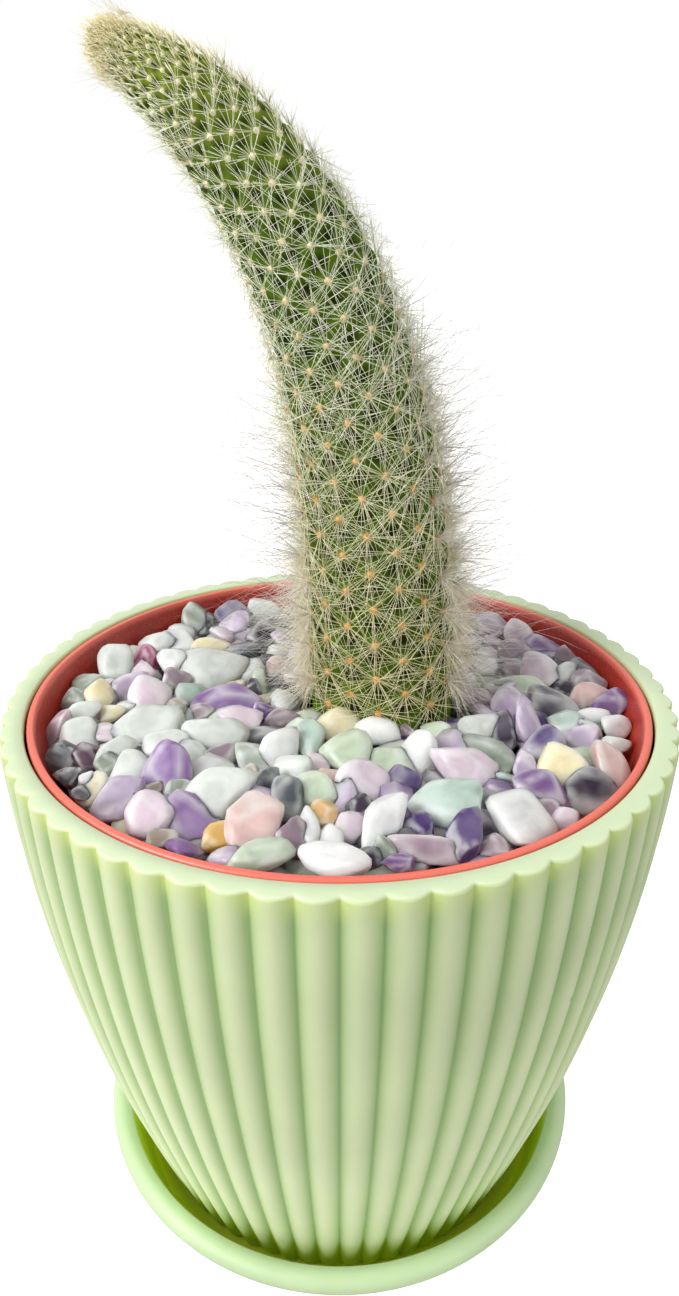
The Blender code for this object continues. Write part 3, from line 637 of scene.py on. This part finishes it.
# The stem is one curved green column. Its 18 ribs break up into tubercles, each with an areole on
# its tip, and those of neighbouring ribs lie half a step apart. The skin is waxy and deep green.
STEM_LENGTH = 112.8 * MM
STEM_RADIUS = 12.2 * MM
STEM_ROOT = 20.0 * MM
STEM_LEAN = math.radians(2.5)
STEM_BEND = math.radians(66.0)
STEM_RIBS = 18
STEM_TWIST = (math.radians(-5.0), math.radians(-6.0))
TUBERCLE = 1.3 * MM
AREOLE_STEP = 6.0 * MM
AREOLE_LEAST_STEP = 1.43 * MM
ROWS_A_HALF_STEP = 6
POINTS_A_RIB = 6
WALK = 0.1 * MM
FOOT_FLARE = 0.15
# Shares of the stem's radius that the spines cover: at the foot, and what the tip has more
SPINE_COVER = (0.06, 0.11)
# The buried end: how deep each of its three rings lies, and its share of the foot's radius
ROOT_RINGS = ((STEM_ROOT, 0.70), (STEM_ROOT - 3.0 * MM, 0.90), (3.0 * MM, 0.94))


def stem_radius(share):
    """Radius over the tubercles' tips at a share of the length: a flared foot and a round tip.

    The spines cover the skin, by 0.7 mm low down and by 2.1 mm near the tip.
    """
    flare = 1.0 + FOOT_FLARE * (1.0 - share) ** 4
    cover = SPINE_COVER[0] + SPINE_COVER[1] * min(max((share - 0.3) / 0.45, 0.0), 1.0)
    return STEM_RADIUS * (flare - cover) * max(1.0 - share ** 3.65, 0.0) ** 0.57


def stem_direction(heading, rib):
    """Direction out of the stem at a rib, square to its heading. Rib 0 is near the front."""
    front = Vector((0.0, -1.0, 0.0))
    side = heading.cross(front)
    angle = math.tau * rib / STEM_RIBS
    return front * math.cos(angle) + side * math.sin(angle)


# Walk up the stem once and keep its middle, heading, share of the length and areole row
stem_walk = []
middle = STEM_FOOT.copy()
row = 0.0
for pace in range(round(STEM_LENGTH / WALK)):
    share = pace * WALK / STEM_LENGTH
    bend = STEM_LEAN + STEM_BEND * share ** 2.25
    heading = Vector((-math.sin(bend), 0.0, math.cos(bend)))
    stem_walk.append((middle.copy(), heading, share, row))
    middle += heading * WALK
    row += 2.0 * WALK / max(AREOLE_STEP * (1.0 - 0.9 * share ** 3.5), AREOLE_LEAST_STEP)
stem_tip = middle
last_row = row


def at_row(number):
    """The stem's middle, heading and share of its length at a row of areoles."""
    low, high = 0, len(stem_walk) - 1
    while high - low > 1:
        half = (low + high) // 2
        if stem_walk[half][3] > number:
            high = half
        else:
            low = half
    return stem_walk[low][:3]


def twist(share):
    """How far the ribs are turned about the stem at a share of its length, in ribs."""
    return (STEM_TWIST[0] + STEM_TWIST[1] * share) * STEM_RIBS / math.tau


around = STEM_RIBS * POINTS_A_RIB
rows = int(last_row * ROWS_A_HALF_STEP)
stem = bmesh.new()
dips = stem.verts.layers.float.new("dip")
bmesh.ops.create_grid(stem, x_segments=around, y_segments=rows + len(ROOT_RINGS), size=0.5)
for point in stem.verts:
    rib = (point.co.x + 0.5) * STEM_RIBS
    line = round((point.co.y + 0.5) * (rows + len(ROOT_RINGS)))
    if line < len(ROOT_RINGS):
        depth, width = ROOT_RINGS[line]
        heading = Vector((0.0, 0.0, 1.0))
        radius = stem_radius(0.0) * width
        point.co = STEM_FOOT - heading * depth + stem_direction(heading, rib) * radius
        continue
    number = (line - len(ROOT_RINGS)) / ROWS_A_HALF_STEP
    middle, heading, share = at_row(number)
    peak = -math.cos(math.pi * rib) * math.cos(math.pi * number)
    dip = 1.0 - (0.5 + 0.5 * peak) ** 0.75
    point[dips] = dip
    radius = stem_radius(share)
    radius -= TUBERCLE * dip * min(radius / STEM_RADIUS, 1.0)
    point.co = middle + stem_direction(heading, rib + twist(share)) * radius
bmesh.ops.remove_doubles(stem, verts=stem.verts, dist=0.00002)
ends = [edge for edge in stem.edges if edge.is_boundary]
bmesh.ops.holes_fill(stem, edges=ends)
bmesh.ops.recalc_face_normals(stem, faces=stem.faces)
# The skin is mottled in spots of about 3 mm, painted dark between the tubercles as painted shade,
# and paler at the tip
skin, tree, shader, place = new_finish("waxy green cactus skin", {
    "Roughness": 0.55, "Specular IOR Level": 0.05})
dip = add_node(tree, "ShaderNodeAttribute", attribute_name="dip")
young = rise(tree, place, 176.0, 196.0)
mottle = add_node(tree, "ShaderNodeTexNoise", {"Vector": place, "Scale": 350.0, "Detail": 4.0})
ridge = add_node(tree, "ShaderNodeMix", {"Factor": mottle.outputs["Fac"], 6: srgb("#48680a"),
                 7: srgb("#718f26")}, data_type="RGBA")
ridge = add_node(tree, "ShaderNodeMix", {"Factor": young, 6: ridge.outputs[2],
                 7: srgb("#8f9c3a")}, data_type="RGBA")
painted_valley_shade = add_node(tree, "ShaderNodeMix", {"Factor": mottle.outputs["Fac"], 6: srgb("#121a02"),
                  7: srgb("#293a05")}, data_type="RGBA")
painted_valley_shade = add_node(tree, "ShaderNodeMix", {"Factor": young, 6: painted_valley_shade.outputs[2],
                  7: srgb("#45550f")}, data_type="RGBA")
painted_shade_between_tubercles = add_node(tree, "ShaderNodeMapRange", {"Value": dip.outputs["Fac"], "From Min": 0.05,
                "From Max": 0.85})
color = add_node(tree, "ShaderNodeMix", {"Factor": painted_shade_between_tubercles.outputs["Result"], 6: ridge.outputs[2],
                 7: painted_valley_shade.outputs[2]}, data_type="RGBA")
tree.links.new(color.outputs[2], shader.inputs["Base Color"])
bump = add_node(tree, "ShaderNodeBump", {"Height": mottle.outputs["Fac"], "Strength": 0.3,
                "Distance": 0.2 * MM})
tree.links.new(bump.outputs["Normal"], shader.inputs["Normal"])
finished("cactus_stem", stem, skin, "cactus", "cactus")

# Each areole is a cushion of short tan wool, paler towards the tip, and 31 or so white spines
# spread from it like a star. The spines are stiff, dry and fine, and sweep forward near the tip.
SPINES_A_STAR = 31
SPINE_LENGTH = 7.3 * MM
SPINE_WIDTH = 0.113 * MM
SPINE_POINT = 0.4
STAR_SHAPES = 6
STAR_CLASSES = 8
SWEPT_FROM = 0.45
SWEEP = 2.2
WOOL_RADIUS = 0.73 * MM
WOOL_HAIRS = 10
WOOL_HAIR_RADIUS = 0.08 * MM


def star_of_spines(rng, share):
    """A star at the origin that stands on +Z, with the stem's tip towards +Y.

    Towards the tip the stars are younger: they have fewer and shorter spines, swept forward. One
    spine in eight stands out from the stem.
    """
    star = bmesh.new()
    youth = max(share - SWEPT_FROM, 0.0) / (1.0 - SWEPT_FROM)
    number = round(SPINES_A_STAR * (1.0 - 0.9 * youth + 0.28 * youth ** 2))
    for n in range(number):
        turn = math.tau * (n + rng.uniform(-1.4, 1.4)) / number
        lift = rng.uniform(0.0, 0.34)
        length = SPINE_LENGTH * rng.uniform(0.5, 1.35 - 0.3 * youth)
        if n % 8 == 3:
            lift = rng.uniform(0.5, 1.3)
            length = SPINE_LENGTH * rng.uniform(0.4, 0.75)
        aim = Vector((math.cos(turn), math.sin(turn) + SWEEP * youth ** 1.7, lift)).normalized()
        length *= 1.0 - 0.9 * youth + 0.2 * youth ** 2
        width = SPINE_WIDTH * rng.uniform(0.8, 1.2)
        place = Matrix.Translation(aim * (0.25 * MM + length / 2))
        turned_to = aim.to_track_quat("Z", "Y").to_matrix().to_4x4()
        bmesh.ops.create_cone(star, cap_ends=True, cap_tris=True, segments=3,
                              radius1=width / 2, radius2=SPINE_POINT * width / 2, depth=length,
                              matrix=place @ turned_to)
    return as_mesh("star", star)


def tuft_of_wool(rng):
    """A cushion of wool at the origin, with a few short hairs that stand out of it."""
    tuft = bmesh.new()
    cushion = bmesh.ops.create_icosphere(tuft, subdivisions=1, radius=WOOL_RADIUS)["verts"]
    for corner in cushion:
        corner.co *= rng.uniform(0.7, 1.2)
        corner.co.z *= 0.8
    for _ in range(WOOL_HAIRS):
        turn = rng.uniform(0.0, math.tau)
        aim = Vector((math.cos(turn), math.sin(turn), rng.uniform(0.2, 2.0))).normalized()
        place = Matrix.Translation(aim * WOOL_RADIUS)
        turned_to = aim.to_track_quat("Z", "Y").to_matrix().to_4x4()
        bmesh.ops.create_cone(tuft, cap_ends=True, segments=3, radius1=WOOL_HAIR_RADIUS,
                              radius2=0.0, depth=WOOL_RADIUS, matrix=place @ turned_to)
    bmesh.ops.remove_doubles(tuft, verts=tuft.verts, dist=0.000001)
    return as_mesh("tuft", tuft)


rng = random.Random(29)
stars = [[star_of_spines(rng, (c + 0.5) / STAR_CLASSES) for _ in range(STAR_SHAPES)]
         for c in range(STAR_CLASSES)]
tufts = [tuft_of_wool(rng) for _ in range(STAR_SHAPES)]
areoles = []
for number in range(1, int(last_row)):
    middle, heading, share = at_row(number)
    for rib in range(STEM_RIBS):
        if (rib + number) % 2 == 0 or middle.z < STEM_FOOT.z - 1.0 * MM:
            continue
        out = stem_direction(heading, rib + twist(share))
        areoles.append((middle + out * stem_radius(share), out, heading, share, rib))
# The old stars are turned at random, and the young ones all point to the tip
spines = bmesh.new()
wool = bmesh.new()
for spot, out, heading, share, _ in areoles:
    across = heading.cross(out)
    stand = Matrix((across, heading, out)).transposed().to_4x4()
    loose = 3.1 if share < SWEPT_FROM else 0.3
    turn = Matrix.Rotation(rng.uniform(-loose, loose), 4, "Z")
    size = (1.0 - 0.3 * share) * min(1.0, 0.35 + stem_radius(share) / STEM_RADIUS)
    star = rng.choice(stars[min(int(share * STAR_CLASSES), STAR_CLASSES - 1)]).copy()
    grown = Matrix.Scale(rng.uniform(0.92, 1.12), 4)
    star.transform(Matrix.Translation(spot) @ stand @ turn @ grown)
    spines.from_mesh(star)
    bpy.data.meshes.remove(star)
    tuft = rng.choice(tufts).copy()
    tuft.transform(Matrix.Translation(spot) @ stand @ turn @ Matrix.Scale(size, 4))
    wool.from_mesh(tuft)
    bpy.data.meshes.remove(tuft)

# Spines are ivory and let a little light through. Their tint changes every 2 mm or so, and they are
# tanner low down and at the very tip
straw, tree, shader, place = new_finish("dry white cactus spines", {
    "Roughness": 0.5, "Subsurface Weight": 0.5, "Subsurface Radius": (1.0, 0.95, 0.8),
    "Subsurface Scale": 0.1 * MM})
tint = add_node(tree, "ShaderNodeTexNoise", {"Vector": place, "Scale": 500.0, "Detail": 1.0})
old = rise(tree, place, 160.0, 105.0)
pale = add_node(tree, "ShaderNodeMix", {"Factor": tint.outputs["Fac"], 6: srgb("#e8eabe"),
                7: srgb("#fcfde8")}, data_type="RGBA")
tan = add_node(tree, "ShaderNodeMix", {"Factor": tint.outputs["Fac"], 6: srgb("#f2e2a6"),
               7: srgb("#fff6ca")}, data_type="RGBA")
color = add_node(tree, "ShaderNodeMix", {"Factor": old, 6: pale.outputs[2], 7: tan.outputs[2]},
                 data_type="RGBA")
youngest = rise(tree, place, 190.0, 199.0)
color = add_node(tree, "ShaderNodeMix", {"Factor": youngest, 6: color.outputs[2],
                 7: srgb("#e6daa6")}, data_type="RGBA")
tree.links.new(color.outputs[2], shader.inputs["Base Color"])
finished("cactus_spines", spines, straw, "cactus", "cactus")

felt, tree, shader, place = new_finish("tan areole wool", {"Roughness": 0.9, "Sheen Weight": 0.3})
young = rise(tree, place, 135.0, 178.0)
color = add_node(tree, "ShaderNodeMix", {"Factor": young, 6: srgb("#e6b260"), 7: srgb("#e6dfb8")},
                 data_type="RGBA")
tree.links.new(color.outputs[2], shader.inputs["Base Color"])
finished("areole_wool", wool, felt, "cactus", "cactus")

# Long white hairs grow from the areoles of the lower stem, mostly at its sides and back, where
# nothing has rubbed them off. Short cream ones fill in between them, and the oldest are matted and
# beige, and lie down on the stones.
HAIR_POINTS = 6
HAIR_BED = STEM_FOOT.z + 0.5 * MM
HAIR_BED_RADIUS = 49.0 * MM
HAIR_FREE_FRONT = math.radians(48.0)
HAIR_THIN_BACK = math.radians(125.0)
# Heights over the stem's foot, in millimetres: where the hairs end at its right and left, and below
# which they are thickest, the long ones are few, and the old ones are matted
HAIR_REACH_RIGHT = 68.0
HAIR_REACH_LEFT = 54.0
FULL_HAIR = 25.0
FEW_LONG_HAIR = 24.0
MATTED_HAIR = 26.0
# The most hairs of a kind at one areole
LONG_HAIRS = 16
FEW_LONG_HAIRS = 8
SHORT_HAIRS = 38
MATTED_HAIRS = 42


def grow_hair(strands, rng, root, aim, length, curl, droop, width):
    """Add one hair as a strand of a curve: it curls at random, droops, and lies on the stones."""
    strand = strands.splines.new("POLY")
    strand.points.add(HAIR_POINTS - 1)
    point = root.copy()
    for n, knot in enumerate(strand.points):
        knot.co = (*point, 1.0)
        knot.radius = width * (1.0 - 0.75 * n / (HAIR_POINTS - 1))
        bend = Vector([rng.gauss(0.0, curl) for _ in range(3)])
        aim = (aim + bend - Vector((0.0, 0.0, droop))).normalized()
        point += aim * length / (HAIR_POINTS - 1)
        if point.z < HAIR_BED and math.hypot(point.x, point.y) < HAIR_BED_RADIUS:
            point.z = HAIR_BED


def new_strands(name):
    """A curve for many strands: each is a thin four-sided tube of unit width."""
    strands = bpy.data.curves.new(name, "CURVE")
    strands.dimensions = "3D"
    strands.bevel_depth = 0.5 * MM
    strands.bevel_resolution = 0
    strands.use_fill_caps = True
    return strands


def as_shape(strands):
    """Turn a curve's strands into a shape."""
    holder = bpy.data.objects.new("strands", strands)
    mesh = bpy.data.meshes.new_from_object(holder)
    bpy.data.objects.remove(holder)
    shape = bmesh.new()
    shape.from_mesh(mesh)
    return shape


def hair_finish(name, sockets, scale, detail, dark, light, contrast=(0.0, 1.0)):
    """Dry, dull cactus hair. Its colour changes softly from clump to clump, 3 to 7 mm apart."""
    finish, tree, shader, place = new_finish(name, sockets)
    tint = add_node(tree, "ShaderNodeTexNoise", {"Vector": place, "Scale": scale, "Detail": detail})
    tint = add_node(tree, "ShaderNodeMapRange", {"Value": tint.outputs["Fac"],
                    "From Min": contrast[0], "From Max": contrast[1]})
    color = add_node(tree, "ShaderNodeMix", {"Factor": tint.outputs["Result"], 6: srgb(dark),
                     7: srgb(light)}, data_type="RGBA")
    tree.links.new(color.outputs[2], shader.inputs["Base Color"])
    return finish


rng = random.Random(41)
long_hairs = new_strands("long_hairs")
short_hairs = new_strands("short_hairs")
matted = new_strands("matted_hairs")
for spot, out, heading, _, rib in areoles:
    across = heading.cross(out)
    angle = math.remainder(math.tau * rib / STEM_RIBS, math.tau)
    if abs(angle) < HAIR_FREE_FRONT:
        continue
    height = (spot.z - STEM_FOOT.z) / MM
    reach = HAIR_REACH_RIGHT if angle > 0.0 else HAIR_REACH_LEFT
    thick = min(max((reach - height) / (reach - FULL_HAIR), 0.0), 1.0) ** 0.7
    side = 1.0 if abs(angle) < HAIR_THIN_BACK else 0.4
    most = FEW_LONG_HAIRS if height < FEW_LONG_HAIR else LONG_HAIRS
    for _ in range(round(most * thick)):
        aim = out + heading * rng.uniform(-0.2, 1.1) + across * rng.gauss(0.0, 0.45)
        length = rng.uniform(7.0, 13.0 + 10.0 * thick) * MM
        width = rng.uniform(0.07, 0.1)
        grow_hair(long_hairs, rng, spot, aim.normalized(), length, 0.1, 0.02, width)
    for _ in range(round(SHORT_HAIRS * side * thick)):
        aim = out * rng.uniform(0.4, 1.2) + heading * rng.uniform(-0.7, 0.7)
        aim = (aim + across * rng.gauss(0.0, 0.7)).normalized()
        length = rng.uniform(2.5, 5.5) * MM
        grow_hair(short_hairs, rng, spot, aim, length, 0.25, 0.02, rng.uniform(0.06, 0.09))
    if height < MATTED_HAIR:
        for _ in range(round(MATTED_HAIRS * side)):
            aim = out * rng.uniform(0.6, 1.2) + heading * rng.uniform(-1.1, 0.5)
            aim = (aim + across * rng.gauss(0.0, 0.7)).normalized()
            grow_hair(matted, rng, spot, aim, rng.uniform(4.0, 12.0) * MM, 0.14, 0.04, 0.075)

# The long hairs are white; their grey clumps are painted shade
long_hair = hair_finish("long white cactus hair", {"Roughness": 0.55}, 140.0, 3.0, "#8c8985",
                        "#eae6df", (0.35, 0.65))
finished("long_hairs", as_shape(long_hairs), long_hair, "cactus", "cactus")
cream_hair = hair_finish("short cream cactus hair", {
    "Roughness": 0.6, "Subsurface Weight": 0.4, "Subsurface Radius": (1.0, 0.85, 0.7),
    "Subsurface Scale": 0.3 * MM}, 200.0, 3.0, "#e6dabb", "#fffaf0")
finished("short_hairs", as_shape(short_hairs), cream_hair, "cactus", "cactus")
matted_hair = hair_finish("matted beige cactus hair", {
    "Roughness": 0.7, "Sheen Weight": 1.0, "Sheen Tint": srgb("#fff2dc"),
    "Subsurface Weight": 0.7, "Subsurface Radius": (1.0, 0.85, 0.7),
    "Subsurface Scale": 0.05 * MM}, 160.0, 2.0, "#fdecd0", "#fffcf4")
finished("matted_hairs", as_shape(matted), matted_hair, "cactus", "cactus")

# The growing tip is hidden in a dense tuft of cream wool, which the youngest spines lean over. A
# few loose hairs stand out from the upper stem.
CROWN_HAIRS = 520
CROWN_RADIUS = 4.6 * MM
FRINGE_HAIRS = 110
FRINGE_RADIUS = 4.0 * MM
LOOSE_TUFTS = 0.12

rng = random.Random(53)
crown = new_strands("crown_wool")
heading = at_row(last_row - 1)[1]
front = Vector((0.0, -1.0, 0.0))
side = heading.cross(front)
for _ in range(CROWN_HAIRS):
    turn = rng.uniform(0.0, math.tau)
    spread = math.sqrt(rng.random())
    sideways = front * math.cos(turn) + side * math.sin(turn)
    root = stem_tip - heading * (0.6 + 3.4 * spread ** 2) * MM + sideways * CROWN_RADIUS * spread
    aim = (heading * rng.uniform(1.0, 1.6) + sideways * rng.uniform(-0.2, 0.35)).normalized()
    grow_hair(crown, rng, root, aim, rng.uniform(0.8, 2.0) * MM, 0.2, 0.0, 0.07)
for _ in range(FRINGE_HAIRS):
    turn = rng.uniform(0.0, math.tau)
    sideways = front * math.cos(turn) + side * math.sin(turn)
    root = stem_tip - heading * rng.uniform(1.0, 6.0) * MM + sideways * FRINGE_RADIUS
    aim = (heading * rng.uniform(0.4, 1.6) + sideways * rng.uniform(0.2, 0.9)).normalized()
    grow_hair(crown, rng, root, aim, rng.uniform(1.5, 4.5) * MM, 0.12, 0.0, 0.035)
for spot, out, heading, share, _ in areoles:
    across = heading.cross(out)
    if share > SWEPT_FROM and rng.random() < LOOSE_TUFTS:
        for _ in range(rng.randint(3, 8)):
            aim = out + heading * rng.uniform(0.6, 2.0) + across * rng.gauss(0.0, 0.3)
            length = rng.uniform(1.5, 3.5) * MM
            grow_hair(crown, rng, spot, aim.normalized(), length, 0.12, 0.0, 0.04)
fleece = hair_finish("cream crown wool", {"Roughness": 0.7}, 300.0, 2.0, "#d2c08c", "#f2e8c0")
finished("crown_wool", as_shape(crown), fleece, "cactus", "cactus")
